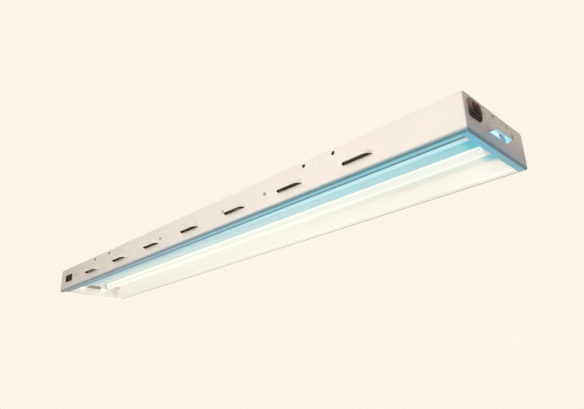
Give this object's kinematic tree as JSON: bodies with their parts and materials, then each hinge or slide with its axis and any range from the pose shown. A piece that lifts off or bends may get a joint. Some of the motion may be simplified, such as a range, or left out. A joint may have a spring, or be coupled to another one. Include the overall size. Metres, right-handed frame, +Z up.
{
  "type": "fluorescent grow light fixture",
  "caption": "Long two-lamp fluorescent grow light with a folded white steel housing, pressed air louvres, a bright folded reflector, a rocker switch and a power inlet.",
  "frame": {"origin": "middle of the plane of the bottom lips, under the middle of the housing", "axes": "+X along the lamps towards the end with the power inlet, +Z up, -Y towards the wall with the rocker switch"},
  "size_m": [1.216, 0.202, 0.0618],
  "materials": {
    "black_plastic": "black moulded thermoplastic",
    "board_green": "printed circuit laminate",
    "cap_aluminium": "drawn aluminium",
    "capacitor_blue": "sleeved capacitor",
    "choke_dark": "ferrite core and wound coil",
    "contact_brass": "nickel-flashed brass",
    "grey_white_enamel": "satin white stoved enamel",
    "lamp_glass": "white phosphor-coated glass, lit",
    "lampholder_white": "white moulded plastic",
    "lead_black": "black lead insulation",
    "lead_green": "green lead insulation",
    "lead_white": "white lead insulation",
    "reflector_white": "bright white reflector enamel",
    "screw_steel": "zinc-plated steel",
    "terminal_grey": "moulded terminal block",
    "zinc_sheet": "zinc-coated steel sheet"
  },
  "bodies": {
    "fixture": {"ballast_base": "zinc_sheet", "ballast_board": "board_green", "ballast_capacitors": "capacitor_blue", "ballast_case": "zinc_sheet", "ballast_chokes": "choke_dark", "ballast_input_terminals": "terminal_grey", "ballast_output_terminals": "terminal_grey", "ballast_screws": "screw_steel", "cross_strap_1": "zinc_sheet", "cross_strap_2": "zinc_sheet", "cross_strap_3": "zinc_sheet", "cross_strap_4": "zinc_sheet", "earth_lead": "lead_green", "earth_lug": "contact_brass", "earth_nut": "screw_steel", "earth_screw": "screw_steel", "far_end_plate": "grey_white_enamel", "far_lamp_lead_1": "lead_white", "far_lamp_lead_2": "lead_white", "far_lampholder_1": "lampholder_white", "far_lampholder_2": "lampholder_white", "far_socket_bracket": "zinc_sheet", "housing": "grey_white_enamel", "inlet_body": "black_plastic", "inlet_pins": "contact_brass", "lampholder_contacts": "contact_brass", "lampholder_screws": "screw_steel", "live_lead": "lead_black", "near_end_plate": "grey_white_enamel", "near_lamp_lead_1": "lead_white", "near_lamp_lead_2": "lead_white", "near_lampholder_1": "lampholder_white", "near_lampholder_2": "lampholder_white", "near_socket_bracket": "zinc_sheet", "neutral_lead": "lead_white", "reflector": "reflector_white", "reflector_screws": "screw_steel", "roof_screws": "screw_steel", "side_screws": "screw_steel", "switch_frame": "black_plastic", "switch_terminals": "contact_brass", "switched_lead": "lead_black"},
    "lamp_1": {"lamp_1_tube": "lamp_glass", "lamp_1_caps": "cap_aluminium", "lamp_1_pins": "contact_brass", "near_rotor_1": "lampholder_white", "far_rotor_1": "lampholder_white"},
    "lamp_2": {"lamp_2_tube": "lamp_glass", "lamp_2_caps": "cap_aluminium", "lamp_2_pins": "contact_brass", "near_rotor_2": "lampholder_white", "far_rotor_2": "lampholder_white"},
    "rocker": {"switch_rocker": "black_plastic"}
  },
  "joints": [
    {"name": "lamp_1_turn", "type": "hinge", "parent": "fixture", "child": "lamp_1", "pos_m": [0, -0.03175, 0.026], "axis": [1, 0, 0], "range_deg": [0, 90]},
    {"name": "lamp_2_turn", "type": "hinge", "parent": "fixture", "child": "lamp_2", "pos_m": [0, 0.03175, 0.026], "axis": [1, 0, 0], "range_deg": [0, 90]},
    {"name": "rocker_tilt", "type": "hinge", "parent": "fixture", "child": "rocker", "pos_m": [-0.5465, -0.088, 0.029], "axis": [0, 0, 1], "range_deg": [-18, 0]}
  ]
}
